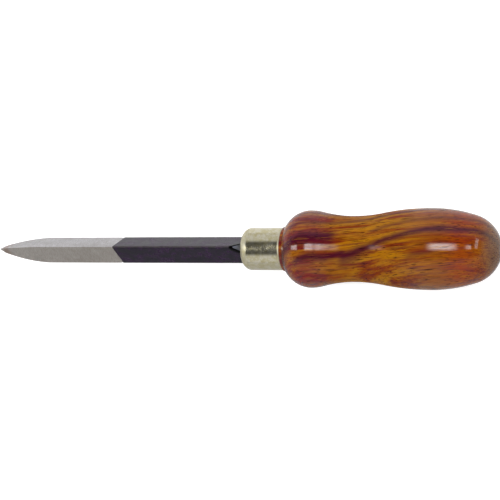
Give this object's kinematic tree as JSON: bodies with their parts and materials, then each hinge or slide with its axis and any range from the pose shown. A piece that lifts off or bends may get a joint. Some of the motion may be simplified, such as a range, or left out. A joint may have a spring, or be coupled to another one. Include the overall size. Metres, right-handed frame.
{
  "type": "scratch awl",
  "caption": "Heavy scratch awl: a triangular steel blade ground bright to an ogival point, a domed steel ferrule and a waisted, lacquered wooden handle.",
  "frame": {"origin": "on the tool's axis, in the plane where the ferrule's rear edge meets the handle's shoulder", "axes": "+X along the tool's axis from the blade's point to the handle's butt, +Z through the blade's upper arris, with the opposite flat facing -Z"},
  "size_m": [0.2004, 0.0298, 0.0298],
  "materials": {
    "blade_steel": "ground bright over the front half, black forging scale over the rear half",
    "ferrule_steel": "bright drawn steel, polished in the lathe",
    "lacquered_wood": "figured orange-brown hardwood under gloss lacquer"
  },
  "bodies": {
    "root": {"blade": "blade_steel", "ferrule": "ferrule_steel", "handle": "lacquered_wood"}
  },
  "joints": []
}
